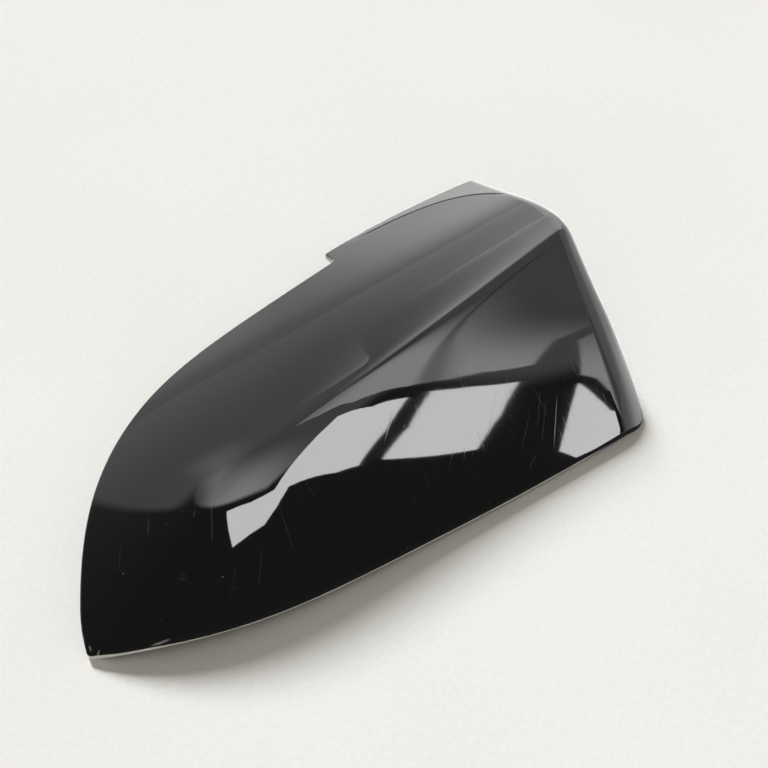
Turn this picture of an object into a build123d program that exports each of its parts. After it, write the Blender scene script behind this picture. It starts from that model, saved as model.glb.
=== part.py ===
from build123d import *
import os
from math import exp, radians, sin, sqrt

# Overall sizes in millimetres
length = 249.0
width = 147.0
wall = 2.5
tip_inset = 28.0

# Crown: the broad upper face, falling to the far edge and to the nose
crown_high = 59.3
crown_line = -20.0
crown_radius = 127.0
crown_ease = 8.0
crown_twist = 6.7
crown_span = 100.0
twist_start = 150.0
nose_start = 104.0
nose_drop = 18.6
nose_power = 2.4

# Front: the steeper face between the near edge and the crease
front_foot = 32.7
front_foot_bow = 4.2
front_foot_tuck = 12.0
front_slope = 0.856
front_slope_mid = -0.107
front_slope_tip = 0.471
front_bulge_radius = 172.4
front_bulge_fade = 1.38

# Crease: tight at the arm end, washed out at the nose
crease_soft = 2.3
crease_fade = 60.0

# Shoulder: the proud end of the crease at the arm
shoulder_rise = 7.5
shoulder_line = 55.0
shoulder_near = 19.0
shoulder_far = 36.0
shoulder_start = 57.0
shoulder_power = 1.5

# Rounding where the faces roll over into the arm end
roll_radius = 8.4
roll_least = 0.25
roll_centre = 46.0
roll_growth = 75.0
roll_turn = 80.0

# Edge in plan, measured from the tip
notch_at = 172.0
notch_step = 10.5
notch_lean = 1.0
notch_fall = 1.4
far_apex_at = 195.0
far_end_fall = 6.8
near_apex_at = 204.0
near_end_rise = 1.0
end_bend_at = 40.0
end_slant = 7.5
tip_round = 2.0
near_corner_round = 7.0
far_corner_round = 4.0
notch_round = 3.5
edge_round = 1.0
edge_margin = 0.3

# Arm opening in the end wall
arm_near = -6.0
arm_far = 88.0
arm_roof = 10.0
arm_round = 7.0

# Features moulded on inside
rib_thick = 1.6
rib_deep = 6.0
rib_edge = 5.0
rib_tip = 3.4
peg_radius = 3.0
peg_base_radius = 5.0
peg_low = 12.0
peg_step = 22.0
hook_wide = 12.0
hook_thick = 2.2
hook_long = 11.0
hook_head = 5.0
hook_barb = 1.6
ground_gap = 1.2

# Spacing for reading the slope of the faces
slope_step = 3.0

half = length / 2
shift = width / 2 - tip_inset


def soft_least(a, b, soft):
    return (a + b - sqrt((a - b) ** 2 + soft ** 2)) / 2


def crown(x, y):
    across = y - crown_line
    nose = max(nose_start - x, 0.0) / nose_start
    sag = across ** 2 / (2 * crown_radius) - crown_ease * (across / crown_span) ** 3
    twist = crown_twist * (twist_start - x) * across / crown_span ** 2
    return crown_high - sag - twist - nose_drop * nose ** nose_power


def front(x, y):
    back = 1 - x / length
    up = y + front_foot + front_foot_bow * back ** 2 - front_foot_tuck * back ** 4
    slope = front_slope + front_slope_mid * back + front_slope_tip * back ** 2
    return slope * up - (1 - front_bulge_fade * back) * up ** 2 / (2 * front_bulge_radius)


def shoulder(x, y):
    along = max(x - shoulder_start, 0.0) / (length - shoulder_start)
    spread = shoulder_near if y < shoulder_line else shoulder_far
    return shoulder_rise * along ** shoulder_power * exp(-((y - shoulder_line) / spread) ** 2)


def skin(x, y):
    back = max(1 - x / length, 0.0)
    return soft_least(crown(x, y), front(x, y), crease_soft + crease_fade * back ** 4) + shoulder(x, y)


def crease_at(x):
    low, high = -front_foot, width
    for _ in range(40):
        middle = (low + high) / 2
        if front(x, middle) < crown(x, middle):
            low = middle
        else:
            high = middle
    return (low + high) / 2


def end_at(gap):
    return length - gap * sin(radians(roll_turn))


def roll(x, y, gap):
    outer = roll_radius * exp((roll_centre - y) / roll_growth)
    radius = max(outer - gap, roll_least * outer)
    past = x - end_at(gap) + radius * sin(radians(roll_turn))
    if past <= 0:
        return 0.0
    return radius - sqrt(radius ** 2 - past ** 2)


def height(x, y, depth, gap):
    slope_x = (skin(x + slope_step, y) - skin(x - slope_step, y)) / (2 * slope_step)
    slope_y = (skin(x, y + slope_step) - skin(x, y - slope_step)) / (2 * slope_step)
    lean = sqrt(1 + slope_x ** 2 + slope_y ** 2)
    return skin(x, y) - depth * lean - roll(x, y, gap)


def form(depth, gap):
    along = (-0.07, 0.0, 0.07, 0.146, 0.233, 0.33, 0.434, 0.547, 0.66, 0.77, 0.87, 0.95)
    over_roll = (2.3, 1.75, 1.3, 0.94, 0.64, 0.4, 0.24, 0.12, 0.04, 0.0)
    below_crease = (-0.58, -0.35, -0.2, -0.11, -0.05, -0.02)
    above_crease = (0.0, 0.02, 0.05, 0.11, 0.2, 0.28, 0.37, 0.48, 0.61)
    rolled = [end_at(gap) - roll_radius * place for place in over_roll]
    stations = [rolled[0] * place for place in along] + rolled
    steps = [width * place for place in below_crease + above_crease]
    shares = [(step - steps[0]) / (steps[-1] - steps[0]) for step in steps]
    floor = -width
    with BuildPart() as solid:
        for x in stations:
            ridge = crease_at(x)
            points = [(ridge + step - shift, height(x, ridge + step, depth, gap)) for step in steps]
            with BuildSketch(Plane.YZ.offset(x - half)):
                with BuildLine():
                    add(Edge.make_spline(points, parameters=shares))
                    Polyline(points[-1], (points[-1][0], floor), (points[0][0], floor), points[0])
                make_face()
        loft()
    return solid.part


def at(x, y):
    return (x - half, y - shift)


# Plan edge of the cover, counted from the tip
near_most = -tip_inset
far_most = width - tip_inset
notch_outer = (notch_at, far_most - notch_fall)
notch_inner = (notch_at - notch_lean, far_most - notch_fall - notch_step)
far_end = (length, far_most - far_end_fall)
end_bend = (length, end_bend_at)
near_end = (length - end_slant, near_most + near_end_rise)

with BuildLine() as near_edge:
    Spline(
        at(0, 0),
        at(0.12 * length, 0.5 * near_most),
        at(0.315 * length, 0.865 * near_most),
        at(0.52 * length, 0.96 * near_most),
        at(near_apex_at, near_most),
        tangents=[(1, -0.65), (1, 0)],
    )
with BuildLine() as left_edge:
    Spline(
        at(*notch_inner),
        at(0.475 * length, 0.82 * far_most),
        at(0.277 * length, 0.682 * far_most),
        at(0.153 * length, 0.49 * far_most),
        at(0.072 * length, 0.285 * far_most),
        at(0.027 * length, 0.138 * far_most),
        at(0, 0),
        tangents=[(-1, -0.17), (-0.2, -1)],
    )
with BuildLine() as far_edge:
    TangentArc(at(far_apex_at, far_most), at(*far_end), tangent=(1, 0))

near_line = near_edge.edge()
left_line = left_edge.edge()
far_line = far_edge.edge()

# Ground: level with the origin, or lower where the far edge dips under it
far_rim = [far_line @ (place / 8) for place in range(9)] + [left_line @ (place / 16) for place in range(9)]
rim_low = min(height(point.X + half, point.Y + shift, wall, 0.0) for point in far_rim)
ground = min(0.0, rim_low - ground_gap)
top = 1.5 * crown_high

with BuildPart() as trim:
    with BuildSketch(Plane.XY.offset(ground)):
        with BuildLine():
            add(near_edge)
            TangentArc(at(near_apex_at, near_most), at(*near_end), tangent=(1, 0))
            TangentArc(at(*end_bend), at(*near_end), tangent=(0, -1))
            Line(at(*end_bend), at(*far_end))
            add(far_edge)
            TangentArc(at(far_apex_at, far_most), at(*notch_outer), tangent=(-1, 0))
            Line(at(*notch_outer), at(*notch_inner))
            add(left_edge)
        make_face()
    extrude(amount=top - ground)
    corners = ((at(0, 0), tip_round), (at(*near_end), near_corner_round), (at(*far_end), far_corner_round),
               (at(*notch_inner), notch_round), (at(*notch_outer), notch_round / 2))
    for corner, radius in corners:
        uprights = trim.edges().filter_by(Axis.Z)
        fillet(uprights.sort_by_distance((*corner, top / 2))[0], radius)


def inset(line, gap, start, stop):
    points = []
    for step in range(9):
        place = start + (stop - start) * step / 8
        along = line % place
        points.append(line @ place + Vector(-along.Y, along.X, 0) * gap)
    return points


def across(line, x, gap):
    low, high = 0.0, 1.0
    rising = (line @ 1).X > (line @ 0).X
    for _ in range(30):
        middle = (low + high) / 2
        if ((line @ middle).X < x) == rising:
            low = middle
        else:
            high = middle
    return (line @ low).Y + gap


# Ribs: along the edges and across, all the same depth below the inner face
with BuildPart() as ribs:
    with BuildSketch(Plane.XY.offset(ground + ground_gap)):
        near_start = rib_tip / near_line.length
        left_stop = 1 - rib_tip / left_line.length
        for line, side, start, stop in (
            (near_line, 1, near_start, 1),
            (left_line, 1, 0, left_stop),
            (far_line, -1, 0, 1),
        ):
            outside = inset(line, side * rib_edge, start, stop)
            inside = inset(line, side * (rib_edge + rib_thick), start, stop)
            with BuildLine():
                Spline(*outside)
                Line(outside[-1], inside[-1])
                Spline(*inside)
                Line(inside[0], outside[0])
            make_face()
        for place, line in ((0.36, left_line), (0.58, left_line), (0.82, far_line)):
            x = place * length - half
            low = across(near_line, x, rib_edge + rib_thick / 2)
            high = across(line, x, -rib_edge - rib_thick / 2)
            with Locations((x, (low + high) / 2)):
                Rectangle(rib_thick, high - low)
    extrude(amount=top - ground)
    add(form(wall + rib_deep, wall), mode=Mode.SUBTRACT)

# Locating pegs, each a slim pin on a stouter foot
with BuildPart() as pegs:
    for x, y in ((0.27, 0.25), (0.68, 0.5), (0.9, 0.2)):
        place = at(x * length, y * far_most)
        with Locations((*place, peg_low)):
            Cylinder(peg_radius, top, align=(Align.CENTER, Align.CENTER, Align.MIN))
        with Locations((*place, peg_step)):
            Cylinder(peg_base_radius, top, align=(Align.CENTER, Align.CENTER, Align.MIN))

# Hooks hanging from the edge ribs, barbs outward
with BuildPart() as hooks:
    for line, place, side in (
        (near_line, 0.4, 1),
        (near_line, 0.86, 1),
        (left_line, 0.12, 1),
        (left_line, 0.45, 1),
        (left_line, 0.78, 1),
        (far_line, 0.65, -1),
    ):
        along = line % place
        inward = Vector(-along.Y, along.X, 0) * side
        root = line @ place + inward * rib_edge
        under = height(root.X + half, root.Y + shift, wall, wall)
        low = max(under - hook_long, ground + ground_gap)
        with BuildSketch(Plane((root.X, root.Y, low), x_dir=inward, z_dir=inward.cross(Vector(0, 0, 1)))):
            with BuildLine():
                Polyline(
                    (0, top),
                    (0, hook_head),
                    (-hook_barb, 0.6 * hook_head),
                    (-hook_barb, 0.45 * hook_head),
                    (0.2 * hook_thick, 0),
                    (hook_thick, 0),
                    (hook_thick, top),
                    close=True,
                )
            make_face()
        extrude(amount=hook_wide / 2, both=True)

# Hollow: the inner form, less everything that stands inside it
with BuildPart() as hollow:
    add(form(wall, wall))
    add(ribs, mode=Mode.SUBTRACT)
    add(pegs, mode=Mode.SUBTRACT)
    add(hooks, mode=Mode.SUBTRACT)

# Shell: the outer form inside the plan edge, less the hollow and the arm opening
arch = []
for share in (0.13, 0.34, 0.55, 0.77, 0.94):
    y = arm_near + share * (arm_far - arm_near)
    arch.append((y, height(length - wall, y, wall + arm_roof, 0.0)))
with BuildPart() as mirror_cover:
    add(form(0.0, 0.0))
    add(trim, mode=Mode.INTERSECT)
    add(hollow, mode=Mode.SUBTRACT)
    with BuildSketch(Plane.YZ.offset(half - 2 * wall)):
        with BuildLine():
            Spline(*[(y - shift, z) for y, z in arch])
            Polyline(
                (arch[-1][0] - shift, arch[-1][1]),
                (arm_far - shift, ground),
                (arm_near - shift, ground),
                (arch[0][0] - shift, arch[0][1]),
            )
        make_face()
    extrude(amount=4 * wall, mode=Mode.SUBTRACT)
    for y, z in (arch[0], arch[-1]):
        lintel = mirror_cover.edges().filter_by(Axis.X).sort_by_distance((half - wall / 2, y - shift, z))
        fillet(lintel[0], arm_round)
    face = mirror_cover.faces().sort_by(SortBy.AREA)[-1]
    fillet(face.edges().filter_by(lambda edge: edge.bounding_box().min.X < half - edge_margin), edge_round)

mirror_cover.part.label = "mirror_cover"
os.makedirs("parts", exist_ok=True)
export_step(mirror_cover.part, "parts/mirror_cover.step")
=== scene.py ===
"""Wing mirror cover: a gloss black shell, open side down on a pale table."""

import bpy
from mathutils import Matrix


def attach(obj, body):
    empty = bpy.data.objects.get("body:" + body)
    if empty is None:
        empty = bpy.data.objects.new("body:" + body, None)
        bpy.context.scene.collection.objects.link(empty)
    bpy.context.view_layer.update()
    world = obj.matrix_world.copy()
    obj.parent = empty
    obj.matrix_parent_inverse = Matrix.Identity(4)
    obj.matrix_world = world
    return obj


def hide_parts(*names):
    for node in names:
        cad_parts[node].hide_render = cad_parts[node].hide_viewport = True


bl_info = {
    "name": "Wing mirror cover",
    "version": (1, 0, 0),
    "blender": (4, 5, 0),
    "location": "View3D > Sidebar > Cover",
    "description": "Finishes the moulded shell of a wing mirror cover and lights it",
    "category": "Object",
}

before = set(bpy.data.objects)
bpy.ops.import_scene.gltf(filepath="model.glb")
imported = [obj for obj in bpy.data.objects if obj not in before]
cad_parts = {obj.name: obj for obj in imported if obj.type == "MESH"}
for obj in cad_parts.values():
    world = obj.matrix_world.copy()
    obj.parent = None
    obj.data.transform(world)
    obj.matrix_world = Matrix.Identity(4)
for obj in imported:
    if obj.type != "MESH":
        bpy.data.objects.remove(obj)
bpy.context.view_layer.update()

from math import cos, hypot, radians, sin

import bpy
import numpy as np
from bpy.props import FloatProperty, FloatVectorProperty, PointerProperty
from mathutils import Vector, geometry

NODE = "mirror_cover"
MILLIMETRE = 0.001
PAINT, PLASTIC, LIP = range(3)
BLACK = (0.0, 0.0, 0.0, 1.0)
WHITE = (1.0, 1.0, 1.0, 1.0)
COOL_WHITE = (0.97, 0.985, 1.0, 1.0)


def size(name, description, default):
    """A length of the cover's form, in millimetres, or a plain ratio."""
    return FloatProperty(name=name, description=description, default=default, precision=4)


def colour(name, description, default):
    """A linear colour."""
    return FloatVectorProperty(name=name, description=description, default=default,
                               subtype="COLOR", min=0, max=1)


def strength(name, description, default):
    """Brightness of a lamp or of a glowing surface."""
    return FloatProperty(name=name, description=description, default=default, min=0)


def angle(name, description, degrees):
    """An angle, given in degrees."""
    return FloatProperty(name=name, description=description, default=radians(degrees), subtype="ANGLE")


def distance(name, description, default):
    """A length in the studio, in metres."""
    return FloatProperty(name=name, description=description, default=default, unit="LENGTH")


def spot(name, description, default):
    """A place in the studio, in metres."""
    return FloatVectorProperty(name=name, description=description, default=default,
                               subtype="TRANSLATION", unit="LENGTH")


class CoverForm(bpy.types.PropertyGroup):
    """The outer faces, counted from the tip of the nose in millimetres."""

    length: size("Length", "From the nose to the arm end", 249.0)
    width: size("Width", "From the near edge to the far edge", 147.0)
    wall: size("Wall", "Thickness of the shell", 2.5)
    tip_inset: size("Tip inset", "From the near edge to the tip of the nose", 28.0)
    crown_high: size("Crown height", "Height of the crown along its middle", 59.3)
    crown_line: size("Crown line", "Where the crown is highest across the cover", -20.0)
    crown_radius: size("Crown radius", "Bend of the crown across the cover", 127.0)
    crown_ease: size("Crown ease", "How far the far side of the crown flattens", 8.0)
    crown_twist: size("Crown twist", "How far the crown turns along the cover", 6.7)
    crown_span: size("Crown span", "Width over which ease and twist are counted", 100.0)
    twist_start: size("Twist start", "Where the crown has no twist", 150.0)
    nose_start: size("Nose start", "Where the crown starts to fall to the nose", 104.0)
    nose_drop: size("Nose drop", "How far the crown falls at the nose", 18.6)
    nose_power: size("Nose power", "How late the fall to the nose comes", 2.4)
    front_foot: size("Front foot", "Where the front face would meet the table", 32.7)
    front_foot_bow: size("Front foot bow", "Bow of that line along the cover", 4.2)
    front_foot_tuck: size("Front foot tuck", "Tuck of that line under the nose", 12.0)
    front_slope: size("Front slope", "Slope of the front face at the arm end", 0.856)
    front_slope_mid: size("Front slope, middle", "Change of slope along the cover", -0.107)
    front_slope_tip: size("Front slope, nose", "Change of slope towards the nose", 0.471)
    front_bulge_radius: size("Front bulge radius", "Bend of the front face upwards", 172.4)
    front_bulge_fade: size("Front bulge fade", "How the bend fades towards the nose", 1.38)
    crease_soft: size("Crease softness", "Softness of the crease at the arm end", 2.3)
    crease_fade: size("Crease fade", "Softness added towards the nose", 60.0)
    shoulder_rise: size("Shoulder rise", "How proud the crease stands at the arm end", 7.5)
    shoulder_line: size("Shoulder line", "Where the shoulder is proudest across the cover", 55.0)
    shoulder_near: size("Shoulder spread, near", "Spread of the shoulder to the near edge", 19.0)
    shoulder_far: size("Shoulder spread, far", "Spread of the shoulder to the far edge", 36.0)
    shoulder_start: size("Shoulder start", "Where the shoulder starts along the cover", 57.0)
    shoulder_power: size("Shoulder power", "How late the shoulder rises", 1.5)
    roll_radius: size("Roll radius", "Rounding into the arm end", 8.4)
    roll_centre: size("Roll centre", "Where the rounding has that radius", 46.0)
    roll_growth: size("Roll growth", "How quickly the rounding grows to the near edge", 75.0)
    roll_turn: size("Roll turn", "Turn of the rounding, in degrees", 80.0)
    flange_along: size("Flange centre, along", "Centre of the groove that bounds the far flange", 154.5)
    flange_across: size("Flange centre, across", "Centre of that groove across the cover", 55.5)
    flange_long: size("Flange reach, along", "From that centre to the groove, along the cover", 91.0)
    flange_wide: size("Flange reach, across", "From that centre to the groove, across the cover", 60.5)
    flange_power: size("Flange power", "How square the groove's bend is", 3.8)
    flange_start: size("Flange start", "Where the groove starts along the cover", 184.0)
    flange_end: size("Flange end", "Where the groove runs out across the cover", 82.0)
    groove_deep: size("Groove depth", "Depth of the groove", 0.4)
    groove_wide: size("Groove width", "Half the width of the groove", 0.45)
    groove_in: size("Groove start fade", "Length over which the groove deepens at its start", 10.0)
    groove_out: size("Groove end fade", "Length over which the groove runs out", 8.0)


class CoverFinish(bpy.types.PropertyGroup):
    """Colours of the shell."""

    paint: colour("Paint", "Gloss black outside", (0.0062, 0.0062, 0.0066))
    # Dust colour: the specks on the paint, and also the pale painted highlights along the near edge and at
    # the tip
    dust_and_glints: colour("Dust", "Specks on the paint", (0.36, 0.36, 0.34))
    scratch: colour("Scratch", "Fine scratches in the paint", (0.10, 0.105, 0.12))
    plastic: colour("Plastic", "Bare moulding inside", (0.022, 0.022, 0.023))
    # Lip colour: the pale band along the lowest millimetre of the near wall
    lip: colour("Lip", "Rubbed edge of the moulding", (0.88, 0.87, 0.83))
    # Flange colour: a painted reflection, a paler grey for the light the far flange mirrors at a low angle
    flange: colour("Flange", "Thin paint on the far flange", (0.10, 0.10, 0.10))


class CoverStudio(bpy.types.PropertyGroup):
    """Table, light and camera."""

    table: colour("Table", "Pale table top", (0.86, 0.86, 0.85))
    table_half: distance("Table reach", "From the middle of the table to its edge", 3.0)
    backdrop: strength("Backdrop", "Brightness beyond the table", 0.86)
    lamp_strength: strength("Lamp", "Strength of the soft lamp behind the cover", 4.05)
    lamp_high: angle("Lamp height", "Height of the lamp above the table's level", 34.5)
    lamp_soft: angle("Lamp softness", "How wide the lamp looks from the cover", 12.5)
    lamp_turn: angle("Lamp direction", "Direction of the lamp on plan", 84.0)
    ambient: strength("Ambient", "Light from all round", 0.315)
    ambient_shade: colour("Ambient colour", "Colour of the light in the shadows", (1.0, 0.95, 0.83))
    pane_light: strength("Panes", "Brightness of the window panes", 12.5)
    blind_light: strength("Blinds", "Brightness of the blinds above the panes", 4.8)
    pane_far: distance("Pane distance", "From the cover to the windows", 0.6)
    pane_turn: angle("Pane direction", "Direction of the windows", -72.0)
    panel_light: strength("Panel", "Brightness of the overhead panel", 5.0)
    panel_high: distance("Panel height", "From the table to the overhead panel", 0.6)
    camera: spot("Camera", "Place of the camera", (-0.1452, -0.2864, 0.4866))
    aim: spot("Aim", "Point in the middle of the picture", (0.0354, 0.0025, 0.0))
    lens: FloatProperty(name="Lens", description="Focal length, mm", default=65.6)


# Form of the outer faces, as numbers or arrays of places counted from the tip
def crown(form, x, y):
    """The broad upper face."""
    across = y - form.crown_line
    nose = np.maximum(form.nose_start - x, 0.0) / form.nose_start
    sag = across ** 2 / (2 * form.crown_radius) - form.crown_ease * (across / form.crown_span) ** 3
    twist = form.crown_twist * (form.twist_start - x) * across / form.crown_span ** 2
    return form.crown_high - sag - twist - form.nose_drop * nose ** form.nose_power


def front(form, x, y):
    """The steeper face between the near edge and the crease."""
    back = 1 - x / form.length
    up = y + form.front_foot + form.front_foot_bow * back ** 2 - form.front_foot_tuck * back ** 4
    slope = form.front_slope + form.front_slope_mid * back + form.front_slope_tip * back ** 2
    return slope * up - (1 - form.front_bulge_fade * back) * up ** 2 / (2 * form.front_bulge_radius)


def shoulder(form, x, y):
    """The proud end of the crease."""
    along = np.maximum(x - form.shoulder_start, 0.0) / (form.length - form.shoulder_start)
    spread = np.where(y < form.shoulder_line, form.shoulder_near, form.shoulder_far)
    aside = (y - form.shoulder_line) / spread
    return form.shoulder_rise * along ** form.shoulder_power * np.exp(-aside ** 2)


def roll_radius(form, y):
    """Radius of the rounding into the arm end."""
    return form.roll_radius * np.exp((form.roll_centre - y) / form.roll_growth)


def groove(form, x, y):
    """Depth of the fine groove between the crown and its far flange."""
    along = np.maximum(x - form.flange_along, 0.0) / form.flange_long
    across = np.maximum(y - form.flange_across, 0.0) / form.flange_wide
    reach = along ** form.flange_power + across ** form.flange_power
    steep = np.hypot(along ** (form.flange_power - 1) / form.flange_long,
                     across ** (form.flange_power - 1) / form.flange_wide)
    least_steep = 1e-4
    away = (reach - 1) / (form.flange_power * np.maximum(steep, least_steep))
    fade_in = np.clip((x - form.flange_start) / form.groove_in, 0, 1)
    fade_out = np.clip((y - form.flange_end) / form.groove_out, 0, 1)
    return form.groove_deep * fade_in * fade_out * np.exp(-(away / form.groove_wide) ** 2)


def skin(form, x, y):
    """Both faces, joined by the crease, rounded into the arm end and grooved at the far flange."""
    a = crown(form, x, y)
    b = front(form, x, y)
    soft = form.crease_soft + form.crease_fade * np.maximum(1 - x / form.length, 0.0) ** 4
    radius = roll_radius(form, y)
    reach = radius * sin(radians(form.roll_turn))
    past = np.clip(x - form.length + reach, 0.0, reach)
    faces = (a + b - np.sqrt((a - b) ** 2 + soft ** 2)) / 2 + shoulder(form, x, y)
    return faces - radius + np.sqrt(radius ** 2 - past ** 2) - groove(form, x, y)


def skin_normals(form, x, y):
    """Outward directions of the outer faces."""
    step = 0.02
    inner = np.minimum(x, form.length - step)
    along = (skin(form, inner + step, y) - skin(form, inner - step, y)) / (2 * step)
    across = (skin(form, inner, y + step) - skin(form, inner, y - step)) / (2 * step)
    normals = np.stack((-along, -across, np.ones_like(along)), axis=-1)
    return normals / np.linalg.norm(normals, axis=-1, keepdims=True)


def crease_line(form, x):
    """Where the two faces cross, for each place along the cover."""
    halvings = 40
    low = np.full_like(x, -form.front_foot)
    high = np.full_like(x, form.width)
    for _ in range(halvings):
        middle = (low + high) / 2
        below = front(form, x, middle) < crown(form, x, middle)
        low = np.where(below, middle, low)
        high = np.where(below, high, middle)
    return (low + high) / 2


# Mesh of the shell
def patches_of(triangles, count):
    """A number for each corner point, the same all over one face of the solid."""
    label = np.arange(count)
    while True:
        least = label[triangles].min(axis=1)
        spread = label.copy()
        np.minimum.at(spread, triangles.ravel(), np.repeat(least, 3))
        if (spread == label).all():
            return label
        label = spread


def border_of(triangles):
    """Edges that belong to one triangle only."""
    edges = np.concatenate((triangles[:, (0, 1)], triangles[:, (1, 2)], triangles[:, (2, 0)]))
    ordered = np.sort(edges, axis=1)
    _, first, count = np.unique(ordered, axis=0, return_index=True, return_counts=True)
    return edges[first[count == 1]]


def inside_border(points, ends, gap):
    """Which points lie inside the closed border, at least a gap away from it."""
    at_once = 2000
    keep = np.zeros(len(points), bool)
    a = ends[:, 0]
    b = ends[:, 1]
    run = b - a
    for rows in np.array_split(np.arange(len(points)), max(1, len(points) // at_once)):
        p = points[rows, None, :]
        crosses = (a[:, 1] > p[..., 1]) != (b[:, 1] > p[..., 1])
        rise = np.where(run[:, 1] == 0, 1.0, run[:, 1])
        reach = a[:, 0] + (p[..., 1] - a[:, 1]) / rise * run[:, 0]
        odd = (crosses & (p[..., 0] < reach)).sum(axis=1) % 2 == 1
        share = np.clip(((p - a) * run).sum(-1) / (run ** 2).sum(-1), 0, 1)
        away = np.linalg.norm(p - a - share[..., None] * run, axis=-1).min(axis=1)
        keep[rows] = odd & (away > gap)
    return keep


def groove_points(form):
    """Places on and beside the groove's line, in close rows."""
    places = 260
    rows = 9
    reach = 2.2
    turn = np.linspace(0.0, radians(90.0), places)[:, None]
    wide = 1 + form.groove_wide * np.linspace(-reach, reach, rows) / form.flange_wide
    bend = 2 / form.flange_power
    along = form.flange_along + form.flange_long * wide * np.cos(turn) ** bend
    across = form.flange_across + form.flange_wide * wide * np.sin(turn) ** bend
    line = np.stack((along, across), axis=-1).reshape(-1, 2)
    return line[groove(form, line[:, 0], line[:, 1]) > 0]


def skin_points(form):
    """Places on the outer faces, closer together at the crease, over the rounding and in the groove."""
    before_tip = 1.0
    spacing = 1.6
    crease_runs = ((0.0, 4.0, 0.5), (4.0, 12.0, 1.0), (12.0, 150.0, spacing))
    x = np.arange(-before_tip, form.length, spacing)
    far = np.concatenate([np.arange(*run) for run in crease_runs])
    offsets = np.concatenate((-far[:0:-1], far))
    along, offset = np.meshgrid(x, offsets)
    grid = np.stack((along, crease_line(form, along) + offset), axis=-1).reshape(-1, 2)

    roll_spacing = 1.2
    roll_step = 6.0
    last_gap = 2.0
    y = np.arange(-form.tip_inset, form.width - form.tip_inset, roll_spacing)
    turn = np.radians(np.arange(0.0, form.roll_turn - last_gap, roll_step))
    rows, turns = np.meshgrid(y, turn)
    rolled = form.length + roll_radius(form, rows) * (np.sin(turns) - sin(radians(form.roll_turn)))
    start = form.length - roll_radius(form, grid[:, 1]) * sin(radians(form.roll_turn)) - spacing / 2

    shallow = 0.001
    plain = grid[(grid[:, 0] < start) & (groove(form, grid[:, 0], grid[:, 1]) < shallow)]
    return np.concatenate((plain, np.stack((rolled, rows), axis=-1).reshape(-1, 2), groove_points(form)))


def shell_mesh(form, solid):
    """The moulded solid with its outer faces drawn afresh, smooth and close-meshed."""
    points = np.array([vertex.co for vertex in solid.vertices]) / MILLIMETRE
    solid.calc_loop_triangles()
    triangles = np.array([triangle.vertices for triangle in solid.loop_triangles])
    corners = np.array([triangle.loops for triangle in solid.loop_triangles])
    normals = np.array([normal.vector for normal in solid.corner_normals])[corners]
    label = patches_of(triangles, len(points))[triangles[:, 0]]
    edges = points[triangles]
    area = np.linalg.norm(np.cross(edges[:, 1] - edges[:, 0], edges[:, 2] - edges[:, 0]), axis=1) / 2
    outer = max(np.unique(label), key=lambda name: area[label == name].sum())

    _, first, joined = np.unique(np.round(points, 3), axis=0, return_index=True, return_inverse=True)
    points = points[first]
    triangles = joined.ravel()[triangles]
    shift = np.array((form.length / 2, form.width / 2 - form.tip_inset))
    plan = points[:, :2] + shift

    border = border_of(triangles[label == outer])
    used, ends = np.unique(border, return_inverse=True)
    ends = ends.reshape(-1, 2)
    rim = plan[used]
    fresh = skin_points(form)
    rim_gap = 0.6
    fresh = fresh[inside_border(fresh, rim[ends], rim_gap)]
    flat = [Vector(place) for place in np.concatenate((rim, fresh)).tolist()]
    inside_only = 1
    same_place = 1e-5
    _, _, faces, sources, _, _ = geometry.delaunay_2d_cdt(flat, ends.tolist(), [], inside_only, same_place)
    heights = np.minimum(skin(form, fresh[:, 0], fresh[:, 1]), points[:, 2].max())
    extra = np.column_stack((fresh - shift, heights))
    place_of = []
    for source in sources:
        at = source[0]
        place_of.append(used[at] if at < len(used) else len(points) + at - len(used))
    new_faces = np.array([[place_of[corner] for corner in face] for face in faces])
    all_points = np.concatenate((points, extra))
    turned = np.cross(all_points[new_faces[:, 1]] - all_points[new_faces[:, 0]],
                      all_points[new_faces[:, 2]] - all_points[new_faces[:, 0]])[:, 2] < 0
    new_faces[turned] = new_faces[turned][:, ::-1]

    rest = label != outer
    old_faces = triangles[rest]
    degenerate = (old_faces[:, 0] == old_faces[:, 1]) | (old_faces[:, 1] == old_faces[:, 2])
    degenerate |= old_faces[:, 2] == old_faces[:, 0]
    old_faces = old_faces[~degenerate]
    old_normals = normals[rest][~degenerate]
    new_plan = all_points[new_faces][..., :2] + shift
    new_normals = skin_normals(form, new_plan[..., 0], new_plan[..., 1])

    finish = np.full(len(old_faces), PAINT)
    old_labels = label[rest][~degenerate]
    for name in np.unique(old_labels):
        mine = old_labels == name
        finish[mine] = patch_finish(form, all_points[old_faces[mine]], old_normals[mine], shift)

    mesh = bpy.data.meshes.new("cover_shell")
    all_faces = np.concatenate((new_faces, old_faces))
    mesh.from_pydata((all_points * MILLIMETRE).tolist(), [], all_faces.tolist())
    slots = np.concatenate((np.full(len(new_faces), PAINT), finish))
    mesh.polygons.foreach_set("material_index", slots)
    mesh.polygons.foreach_set("use_smooth", np.ones(len(slots), bool))
    mesh.normals_split_custom_set(np.concatenate((new_normals, old_normals)).reshape(-1, 3).tolist())
    mesh.validate()
    return mesh


def patch_finish(form, corners, normals, shift):
    """Painted outside and on rounded edges, pale-lined on the near wall, and bare plastic inside."""
    upright = 0.3
    end_gap = 0.1
    rounded_depth = 0.6
    wall_top = 1.6
    middle = corners.reshape(-1, 3)
    facing = normals.reshape(-1, 3)
    depth = skin(form, middle[:, 0] + shift[0], middle[:, 1] + shift[1]) - middle[:, 2]
    if middle[:, 0].min() > form.length / 2 - end_gap or depth.mean() < rounded_depth:
        return PAINT
    if np.abs(facing[:, 2]).mean() < upright and depth.mean() < 2 * form.wall and depth.min() < wall_top:
        return LIP if facing[:, 1].mean() < -upright else PAINT
    return PLASTIC


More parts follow.
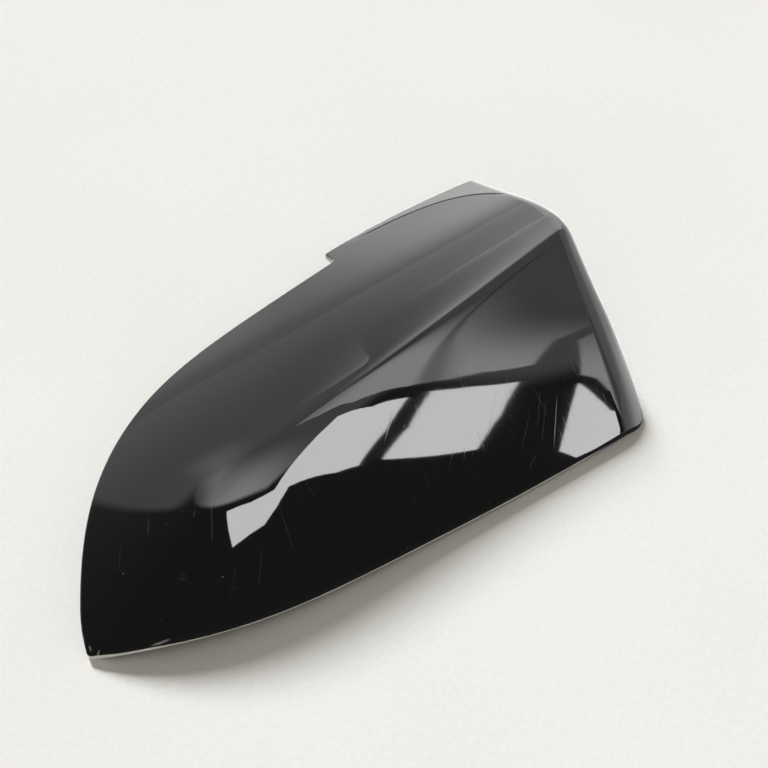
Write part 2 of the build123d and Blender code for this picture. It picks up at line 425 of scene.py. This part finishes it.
# Shader arithmetic
class Value:
    """A socket whose arithmetic adds Math nodes."""

    def __init__(self, tree, socket):
        self.tree = tree
        self.socket = socket

    def __add__(self, other):
        return self.tree.math("ADD", self, other)

    def __sub__(self, other):
        return self.tree.math("SUBTRACT", self, other)

    def __mul__(self, other):
        return self.tree.math("MULTIPLY", self, other)

    def __truediv__(self, other):
        return self.tree.math("DIVIDE", self, other)

    def __rsub__(self, other):
        return self.tree.math("SUBTRACT", other, self)

    def __rtruediv__(self, other):
        return self.tree.math("DIVIDE", other, self)

    def __abs__(self):
        return self.tree.math("ABSOLUTE", self)

    __radd__ = __add__
    __rmul__ = __mul__


class Tree:
    """A node tree that is filled node by node."""

    def __init__(self, owner):
        owner.use_nodes = True
        self.tree = owner.node_tree
        self.tree.nodes.clear()

    def node(self, kind, settings=None, inputs=None, out=0):
        """A node of that type, its settings, what goes into its sockets, and the output wanted."""
        made = self.tree.nodes.new(kind)
        for name, value in (settings or {}).items():
            setattr(made, name, value)
        for name, value in (inputs or {}).items():
            if isinstance(value, Value):
                self.tree.links.new(value.socket, made.inputs[name])
            else:
                made.inputs[name].default_value = value
        return Value(self, made.outputs[out]) if len(made.outputs) else made

    def math(self, operation, *values):
        """A Math node."""
        return self.node("ShaderNodeMath", {"operation": operation}, dict(enumerate(values)))

    def least(self, first, second):
        """The smaller of two values."""
        return self.math("MINIMUM", first, second)

    def most(self, first, second):
        """The larger of two values."""
        return self.math("MAXIMUM", first, second)

    def between(self, value, start, end):
        """0 at the start, 1 at the end, and a smooth step from one to the other."""
        return self.node("ShaderNodeMapRange", {"interpolation_type": "SMOOTHSTEP"},
                         {"Value": value, "From Min": start, "From Max": end})

    def mix(self, share, first, second):
        """A colour between two colours."""
        return self.node("ShaderNodeMix", {"data_type": "RGBA"}, {0: share, 6: first, 7: second}, 2)

    def mix_value(self, share, first, second):
        """A number between two numbers."""
        return self.node("ShaderNodeMix", {"data_type": "FLOAT"}, {0: share, 2: first, 3: second}, 0)

    def noise(self, place, scale, detail=2.0):
        """Soft cloudy variation between 0 and 1."""
        return self.node("ShaderNodeTexNoise", None, {"Vector": place, "Scale": scale, "Detail": detail})

    def place(self):
        """Places on the object, in metres."""
        return self.node("ShaderNodeTexCoord", None, None, "Object")

    def parts(self, vector):
        """The three parts of a vector."""
        split = self.node("ShaderNodeSeparateXYZ", None, {0: vector})
        return [Value(self, socket) for socket in split.socket.node.outputs]

    def surface(self, shader):
        """The material's output."""
        self.node("ShaderNodeOutputMaterial", None, {"Surface": shader})


def rgba(value):
    """A colour with full opacity."""
    return (*value, 1.0)


# Marks in the paint: start, end, width and depth, in millimetres on the plan of the cover
SCRATCHES = (
    ((-59.2, -28.7), (-68.7, -44.6), 0.30, 0.9),
    ((-82.9, -22.4), (-86.8, -28.7), 0.26, 0.6),
    ((-67.6, -30.6), (-69.5, -32.9), 0.40, 0.8),
    ((-50.8, -50.0), (-59.5, -60.9), 0.28, 0.5),
    ((-39.5, -43.0), (-41.5, -58.5), 0.26, 0.6),
    ((-26.1, -36.8), (-25.4, -48.2), 0.22, 0.4),
    ((-62.2, -50.4), (-70.4, -59.1), 0.24, 0.4),
    ((-96.3, -24.3), (-101.9, -32.5), 0.22, 0.4),
    ((19.8, -30.8), (7.9, -41.1), 0.34, 0.5),
    ((16.1, -31.6), (8.3, -36.9), 0.26, 0.4),
    ((41.7, -33.6), (30.2, -47.5), 0.24, 0.5),
    ((49.7, -39.0), (33.4, -58.9), 0.26, 0.5),
    ((62.1, -40.0), (48.2, -54.2), 0.30, 0.5),
    ((35.9, -49.6), (26.3, -58.9), 0.22, 0.4),
    ((73.1, -49.5), (58.5, -63.4), 0.24, 0.4),
    ((79.3, -46.0), (69.6, -58.9), 0.26, 0.5),
    ((80.2, -49.3), (68.2, -64.3), 0.24, 0.5),
    ((85.2, -50.1), (72.1, -67.6), 0.36, 1.0),
    ((65.7, -65.1), (59.2, -68.5), 0.30, 0.7),
    ((-84.5, -45.2), (-81.0, -47.2), 0.50, 0.5),
    ((-83.0, -44.8), (-80.5, -45.8), 0.40, 0.4),
)

# Painted highlights along the near edge and at the tip, pale marks where the rounded edge catches light:
# start, end and width, in the same way
EDGE_HIGHLIGHTS = (
    ((-103.6, -56.4), (-95.2, -58.6), 0.40),
    ((-121.8, -48.0), (-119.6, -46.8), 0.50),
    ((-122.6, -45.4), (-122.2, -43.2), 0.40),
)


def scratch_mark(tree, x, y, start, end, wide, deep):
    """One scratch as a soft line between two places on the plan."""
    run_x = end[0] - start[0]
    run_y = end[1] - start[1]
    long = hypot(run_x, run_y)
    run_x /= long
    run_y /= long
    along = (x - start[0]) * run_x + (y - start[1]) * run_y
    aside = abs((x - start[0]) * run_y - (y - start[1]) * run_x)
    ends = tree.least(along, long - along)
    return (1 - tree.between(aside, 0.25 * wide, wide)) * tree.between(ends, 0.0, 0.3 * long) * deep


def streaks(tree, place, turn, fine, drawn, low, high):
    """Fine parallel scratches: noise drawn out along one direction and cut to its crests."""
    turned = tree.node("ShaderNodeMapping", None,
                       {"Vector": place, "Rotation": (0.0, 0.0, turn), "Scale": (fine, drawn, drawn)})
    return tree.between(tree.noise(turned, 1.0, 3.0), low, high)


def specks(tree, place, scale, share, least, most):
    """Round specks of uneven size in some of the cells."""
    settings = {"feature": "F1"}
    inputs = {"Vector": place, "Scale": scale, "Randomness": 1.0}
    far = tree.node("ShaderNodeTexVoronoi", settings, inputs, "Distance")
    chance = tree.parts(Value(tree, far.socket.node.outputs["Color"]))
    radius = least + (most - least) * chance[1]
    return tree.between(radius - far, 0.0, least * 0.6) * tree.between(chance[0], 1 - share, 1.001 - share)


def flange_sheen_share(tree, form, x, y):
    """1 on the far flange beyond its groove, where a paler grey is painted in as the flange's reflection, 0
    on the rest of the paint.
    """
    along = (x + form.length / 2 - form.flange_along) / form.flange_long
    across = (y + form.width / 2 - form.tip_inset - form.flange_across) / form.flange_wide
    reach = 0.0
    for part in (along, across):
        reach = tree.math("POWER", tree.most(part, 0.0), form.flange_power) + reach
    fade = 6.0
    soft_edge = 0.06
    started = tree.between(x + form.length / 2, form.flange_start - fade, form.flange_start + fade)
    return tree.between(reach, 1.0, 1.0 + soft_edge) * started


def paint_material(finish, form):
    """Gloss black paint with fine scratches, haze and dust specks, pale painted highlights at the near edge
    and the tip, and a painted reflection on the far flange.
    """
    material = bpy.data.materials.new("gloss_black_paint")
    tree = Tree(material)
    place = tree.place()
    x, y, _ = (part / MILLIMETRE for part in tree.parts(place))

    patches = tree.between(tree.noise(place, 14.0, 1.0), 0.45, 0.68)
    fine = streaks(tree, place, radians(30), 1500.0, 36.0, 0.66, 0.74)
    crossed = streaks(tree, place, radians(52), 1300.0, 46.0, 0.69, 0.76)
    swirl = tree.most(fine, crossed) * patches
    marks = swirl * 0.45
    for start, end, wide, deep in SCRATCHES:
        marks = tree.most(marks, scratch_mark(tree, x, y, start, end, wide, deep))
    large = specks(tree, place, 160.0, 0.10, 0.02, 0.05)
    small = specks(tree, place, 420.0, 0.16, 0.03, 0.09)
    dust_and_glints = tree.most(large, 0.5 * small)
    # Painted highlights: pale marks at the near edge and the tip where the rounded edge catches light
    for start, end, wide in EDGE_HIGHLIGHTS:
        dust_and_glints = tree.most(dust_and_glints, scratch_mark(tree, x, y, start, end, wide, 1.0))
    grain = tree.between(tree.noise(place, 1600.0, 1.0), 0.55, 0.85)

    # Painted reflection: the far flange beyond the groove is shaded paler grey for the light it mirrors
    shade = tree.mix(flange_sheen_share(tree, form, x, y), rgba(finish.paint), rgba(finish.flange))
    shade = tree.mix(grain * 0.02, shade, rgba(finish.dust_and_glints))
    shade = tree.mix(marks * 0.5, shade, rgba(finish.scratch))
    # Dust specks and the painted edge highlights, mixed in pale
    shade = tree.mix(dust_and_glints * 0.8, shade, rgba(finish.dust_and_glints))
    haze = tree.noise(place, 22.0, 3.0)
    rough = 0.012 + 0.022 * haze + 0.06 * marks + 0.4 * dust_and_glints
    peel = tree.noise(place, 300.0, 1.0) * 0.8 + tree.noise(place, 90.0, 1.0) * 2.0 - marks * 0.3
    bump = tree.node("ShaderNodeBump", None, {"Strength": 0.6, "Distance": 1.2e-6, "Height": peel})
    tree.surface(tree.node("ShaderNodeBsdfPrincipled", None, {
        "Base Color": shade, "Roughness": rough, "IOR": 1.5, "Normal": bump}))
    return material


def plastic_material(finish):
    """Bare moulded plastic with a fine etched grain."""
    material = bpy.data.materials.new("bare_black_plastic")
    tree = Tree(material)
    place = tree.place()
    grain = tree.noise(place, 1800.0, 2.0)
    flow = tree.noise(place, 30.0, 3.0)
    pale = rgba([2.2 * part for part in finish.plastic])
    shade = tree.mix(flow * 0.5 + grain * 0.2, rgba(finish.plastic), pale)
    bump = tree.node("ShaderNodeBump", None, {"Strength": 0.5, "Distance": 3e-5, "Height": grain})
    tree.surface(tree.node("ShaderNodeBsdfPrincipled", None, {
        "Base Color": shade, "Roughness": 0.42 + 0.2 * grain, "Normal": bump}))
    return material


def lip_material(finish):
    """The near edge of the moulding: painted above, pale along its lowest line, fading out towards the arm.
    """
    material = bpy.data.materials.new("pale_edge_line")
    tree = Tree(material)
    place = tree.place()
    x, _, z = (part / MILLIMETRE for part in tree.parts(place))
    nose_run = 1.4 - 0.033 * x
    arm_run = 1.9 - 0.021 * x
    tip_run = 18.1 + 0.13 * x
    arm_low = 0.85
    low = tree.least(tree.most(tree.most(nose_run, arm_run), arm_low), tip_run)
    # Pale band along the lowest millimetre of the near wall, fading out towards the arm, of uneven strength
    pale_band = tree.between(z - low, 1.4, 0.9) * tree.between(x, 100.0, 82.0)
    pale_share = pale_band * (0.6 + 0.4 * tree.between(tree.noise(place, 60.0, 4.0), 0.2, 0.5))
    shade = tree.mix(pale_share, rgba(finish.paint), rgba(finish.lip))
    tree.surface(tree.node("ShaderNodeBsdfPrincipled", None, {
        "Base Color": shade, "Roughness": 0.08 + 0.45 * pale_band, "Specular IOR Level": 0.2}))
    return material


class COVER_OT_shell(bpy.types.Operator):
    """Draws the moulded shell and gives it its paint, bare inside and pale-lined lip"""

    bl_idname = "cover.shell"
    bl_label = "Shell"

    def execute(self, context):
        finish = context.scene.cover_finish
        mesh = shell_mesh(context.scene.cover_form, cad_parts[NODE].data)
        shell = bpy.data.objects.new("cover_shell", mesh)
        context.scene.collection.objects.link(shell)
        paint = paint_material(finish, context.scene.cover_form)
        for made in (paint, plastic_material(finish), lip_material(finish)):
            mesh.materials.append(made)
        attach(shell, "root")
        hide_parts(NODE)
        return {"FINISHED"}


# What the front face mirrors, on an upright wall: corners aside and up, in metres
PANES = {
    "pane_left": (
        (-0.315, 0.736), (-0.241, 0.640), (-0.186, 0.566), (-0.141, 0.526), (-0.103, 0.501),
        (-0.035, 0.553), (0.044, 0.603), (0.105, 0.631), (0.143, 0.537), (0.177, 0.527),
        (0.109, 0.470), (0.038, 0.420), (0.010, 0.421), (-0.046, 0.451), (-0.070, 0.463),
        (-0.113, 0.435), (-0.161, 0.417), (-0.275, 0.448),
    ),
    "pane_middle": (
        (0.196, 0.534), (0.216, 0.536), (0.230, 0.527), (0.171, 0.460), (0.118, 0.408),
        (0.062, 0.421), (0.125, 0.469),
    ),
    "pane_right": (
        (0.232, 0.473), (0.185, 0.405), (0.144, 0.347), (0.144, 0.320), (0.163, 0.314),
        (0.207, 0.297), (0.202, 0.372), (0.214, 0.416),
    ),
}
BLINDS = {
    "blind_left": (
        (0.200, 2.200), (0.140, 1.100), (0.150, 0.800), (0.147, 0.654), (0.169, 0.589),
        (0.187, 0.562), (0.198, 0.552), (0.211, 0.552), (0.225, 0.556), (0.244, 0.566),
        (0.263, 0.563), (0.312, 0.618), (0.345, 0.636), (0.375, 0.660), (0.420, 1.100),
        (0.900, 2.200),
    ),
    "blind_right": (
        (0.245, 0.492), (0.240, 0.463), (0.225, 0.419), (0.262, 0.330), (0.300, 0.270),
        (0.420, 0.270), (0.420, 0.625), (0.323, 0.605), (0.308, 0.596),
    ),
}

# A soft panel overhead that the crease mirrors: corners on plan, in metres
PANEL = ((0.12, -0.14), (0.31, 1.30), (1.20, 1.30), (1.20, -0.14))


def glow_material(name, level, light=None):
    """A glowing surface, even all over or with a share of its light that changes from place to place."""
    material = bpy.data.materials.new(name)
    tree = Tree(material)
    shade = COOL_WHITE
    if light is not None:
        shade = tree.mix(light(tree, *tree.parts(tree.place())), BLACK, COOL_WHITE)
    tree.surface(tree.node("ShaderNodeEmission", None, {"Color": shade, "Strength": level}))
    return material


def panel_light(tree, x, y, _):
    """The overhead panel: bright towards the arm, dim at its left, its near and its far edge."""
    dim = 0.19
    bright = 1.0 - 0.35 * tree.between(y, 0.2, 0.9)
    ramp = tree.between((x - 0.12 * y) / (1 + 0.3 * y), 0.12, 0.31) * tree.between(y, -0.14, 0.02)
    return dim + (bright - dim) * ramp


def reflected_card(name, corners, material):
    """A flat card that only mirroring surfaces see."""
    mesh = bpy.data.meshes.new(name)
    mesh.from_pydata(corners, [], [range(len(corners))])
    mesh.materials.append(material)
    card = bpy.data.objects.new(name, mesh)
    bpy.context.scene.collection.objects.link(card)
    card.visible_camera = False
    card.visible_diffuse = False
    card.visible_shadow = False


def arm_glow(tree, aside):
    """The light beyond the arm end at the level of the table, brightest a little to the front."""
    return 1.95 + 1.5 * tree.between(aside, -0.1, -0.3)


def table_light(tree, place):
    """What mirrors see of the table: dark before the near edge, grey at the nose, bright beyond the arm."""
    dark = 0.1
    grey = 0.58
    plain = 0.86
    x, y, _ = tree.parts(place)
    far = tree.math("SQRT", x * x + y * y)
    along = x / far
    aside = y / far
    toward_arm = tree.between(along, 0.17, 0.75 - 0.25 * tree.between(far, 0.6, 3.0))
    close = tree.between(far, 0.5, 0.12) * tree.between(along, 0.4, 0.1)
    beyond = tree.mix_value(toward_arm, grey, arm_glow(tree, aside)) * (1 + 0.45 * close)
    behind = tree.most(tree.between(aside, -0.1, 0.35), tree.between(along, 0.52, 0.66))
    before = tree.between(y, -0.02, -0.05) * tree.between(y, -0.4, -0.2) * tree.between(x, 0.14, 0.12)
    return tree.mix_value(before, tree.mix_value(behind, plain, beyond), dark)


def table_material(studio):
    """A pale table top with a faint grain."""
    brightest = 5.0
    material = bpy.data.materials.new("pale_table")
    tree = Tree(material)
    place = tree.place()
    grain = tree.noise(place, 500.0, 2.0) * 0.5 + tree.noise(place, 5.0, 2.0) * 0.5
    darker = rgba([0.95 * part for part in studio.table])
    shade = tree.mix(tree.between(grain, 0.35, 0.65), darker, rgba(studio.table))
    top = tree.node("ShaderNodeBsdfPrincipled", None, {
        "Base Color": shade, "Roughness": 0.7, "Specular IOR Level": 0.0})
    mirrored_shade = tree.mix(table_light(tree, place) / brightest, BLACK, WHITE)
    glow = tree.node("ShaderNodeEmission", None, {"Color": mirrored_shade, "Strength": brightest})
    mirrored = tree.node("ShaderNodeLightPath", None, None, "Is Glossy Ray")
    tree.surface(tree.node("ShaderNodeMixShader", None, {0: mirrored, 1: top, 2: glow}))
    return material


def room_light(tree, direction):
    """What mirrors see of the room: grey behind, a pale wall at the arm, a lit ceiling, a dark front."""
    dark = 0.12
    grey = 0.58
    x, y, z = tree.parts(direction)
    flat = tree.math("SQRT", 1.0001 - z * z)
    behind = tree.between(y, -0.1, 0.35)
    arm_high = tree.mix_value(behind, 1.35, 3.4)
    arm_wall = tree.mix_value(tree.between(z, 0.02, 0.36), arm_glow(tree, y / flat), arm_high)
    lit = tree.between(z + 0.62 * tree.least(x, 0.14), 0.735, 0.765)
    front_wall = tree.mix_value(tree.between(x, 0.52, 0.66), 0.85 * lit, arm_wall)
    toward_arm = tree.between(x / flat, 0.17, 0.5) * tree.between(z, 0.86, 0.76)
    back_wall = tree.mix_value(toward_arm, grey + 0.5 * z * z, arm_wall)
    near_left = (2.2 + 1.2 * tree.between(y, -0.35, -0.65)) * tree.between(x + 0.5 * y, 0.0, -0.32) * lit
    high_left = tree.between(x, 0.02, -0.18) * tree.between(z, 0.5, 0.85)
    far_left = 0.9 * high_left * tree.between(y, -0.2, 0.1)
    ceiling = (near_left + far_left) * tree.between(x, -0.32, -0.16)
    room = tree.mix_value(behind, front_wall, back_wall) + ceiling
    beside = -0.94 * x - 0.342 * y
    return room * tree.between(z - 2.4 * beside, -0.05, 0.12) + dark


def room_world(studio):
    """Even soft light for the table, a plain backdrop, and the room for mirroring surfaces."""
    brightest = 8.0
    world = bpy.data.worlds.new("studio")
    tree = Tree(world)
    direction = tree.node("ShaderNodeTexCoord", None, None, "Generated")
    seen = tree.node("ShaderNodeLightPath", None, None, "Is Camera Ray")
    mirrored = Value(tree, seen.socket.node.outputs["Is Glossy Ray"])
    room_shade = tree.mix(room_light(tree, direction) / brightest, BLACK, WHITE)
    glows = []
    for shade, level in (
        (rgba(studio.ambient_shade), studio.ambient),
        (WHITE, studio.backdrop),
        (room_shade, brightest),
    ):
        glows.append(tree.node("ShaderNodeBackground", None, {"Color": shade, "Strength": level}))
    plain = tree.node("ShaderNodeMixShader", None, {0: seen, 1: glows[0], 2: glows[1]})
    whole = tree.node("ShaderNodeMixShader", None, {0: mirrored, 1: plain, 2: glows[2]})
    tree.node("ShaderNodeOutputWorld", None, {"Surface": whole})
    bpy.context.scene.world = world


def table_top(studio):
    """The flat table that the cover lies on."""
    half = studio.table_half
    corners = [(-half, -half, 0), (half, -half, 0), (half, half, 0), (-half, half, 0)]
    mesh = bpy.data.meshes.new("table")
    mesh.from_pydata(corners, [], [range(len(corners))])
    mesh.materials.append(table_material(studio))
    table = bpy.data.objects.new("table", mesh)
    bpy.context.scene.collection.objects.link(table)


def window_cards(studio):
    """The panes, the blinds above them and the panel overhead."""
    out = Vector((cos(studio.pane_turn), sin(studio.pane_turn), 0))
    aside = Vector((-out.y, out.x, 0))

    def blind_light(tree, x, y, up):
        across = aside.x * x + aside.y * y
        fold = tree.between(abs(up - 0.3515 - 0.95 * across), 0.002, 0.012)
        fade = 1.0 - 0.81 * tree.between(across - 0.1 * (up - 0.6), 0.255, 0.36)
        return fade * (1.0 - 0.35 * tree.between(up, 0.7, 1.5)) * (0.5 + 0.5 * fold)

    bright = glow_material("window_pane", studio.pane_light)
    drawn = glow_material("window_blind", studio.blind_light, blind_light)
    for group, glow in ((PANES, bright), (BLINDS, drawn)):
        for name, corners in group.items():
            places = [out * studio.pane_far + aside * across + Vector((0, 0, up)) for across, up in corners]
            reflected_card(name, places, glow)
    overhead = glow_material("soft_panel", studio.panel_light, panel_light)
    reflected_card("soft_panel", [(x, y, studio.panel_high) for x, y in PANEL], overhead)


def soft_lamp(studio):
    """The lamp behind the cover, which mirroring surfaces don't see."""
    away = 2.0
    lamp = bpy.data.lights.new("soft_lamp", "SUN")
    lamp.angle = studio.lamp_soft
    lamp.energy = studio.lamp_strength
    soft = bpy.data.objects.new("soft_lamp", lamp)
    level = cos(studio.lamp_high)
    toward = Vector((level * cos(studio.lamp_turn), level * sin(studio.lamp_turn), sin(studio.lamp_high)))
    soft.location = toward * away
    soft.rotation_euler = (-toward).to_track_quat("-Z", "Y").to_euler()
    soft.visible_glossy = False
    bpy.context.scene.collection.objects.link(soft)


def studio_camera(studio):
    """The camera, aimed at the middle of the picture."""
    lens = bpy.data.cameras.new("camera")
    lens.lens = studio.lens
    lens.sensor_width = 36.0
    lens.clip_start = 0.01
    camera = bpy.data.objects.new("camera", lens)
    camera.location = studio.camera
    look = Vector(studio.aim) - Vector(studio.camera)
    camera.rotation_euler = look.to_track_quat("-Z", "Y").to_euler()
    bpy.context.scene.collection.objects.link(camera)
    bpy.context.scene.camera = camera


class COVER_OT_stage(bpy.types.Operator):
    """Sets the table, the light, the windows in the reflections and the camera"""

    bl_idname = "cover.stage"
    bl_label = "Stage"

    def execute(self, context):
        studio = context.scene.cover_studio
        context.scene.view_settings.view_transform = "Standard"
        for make in (room_world, table_top, window_cards, soft_lamp, studio_camera):
            make(studio)
        return {"FINISHED"}


class COVER_PT_panel(bpy.types.Panel):
    """Lists the steps that make the cover and its studio"""

    bl_label = "Mirror cover"
    bl_space_type = "VIEW_3D"
    bl_region_type = "UI"
    bl_category = "Cover"

    def draw(self, context):
        for step in (COVER_OT_shell, COVER_OT_stage):
            self.layout.operator(step.bl_idname)
        for group in ("cover_form", "cover_finish", "cover_studio"):
            settings = getattr(context.scene, group)
            for name in settings.__annotations__:
                self.layout.prop(settings, name)


CLASSES = (CoverForm, CoverFinish, CoverStudio, COVER_OT_shell, COVER_OT_stage, COVER_PT_panel)


def register():
    """Adds the classes and the scene's settings."""
    for made in CLASSES:
        bpy.utils.register_class(made)
    bpy.types.Scene.cover_form = PointerProperty(type=CoverForm)
    bpy.types.Scene.cover_finish = PointerProperty(type=CoverFinish)
    bpy.types.Scene.cover_studio = PointerProperty(type=CoverStudio)


def unregister():
    """Takes them away again."""
    del bpy.types.Scene.cover_form
    del bpy.types.Scene.cover_finish
    del bpy.types.Scene.cover_studio
    for made in reversed(CLASSES):
        bpy.utils.unregister_class(made)


def main():
    """Makes the shell and the stage."""
    register()
    bpy.ops.cover.shell()
    bpy.ops.cover.stage()


if __name__ == "__main__":
    main()
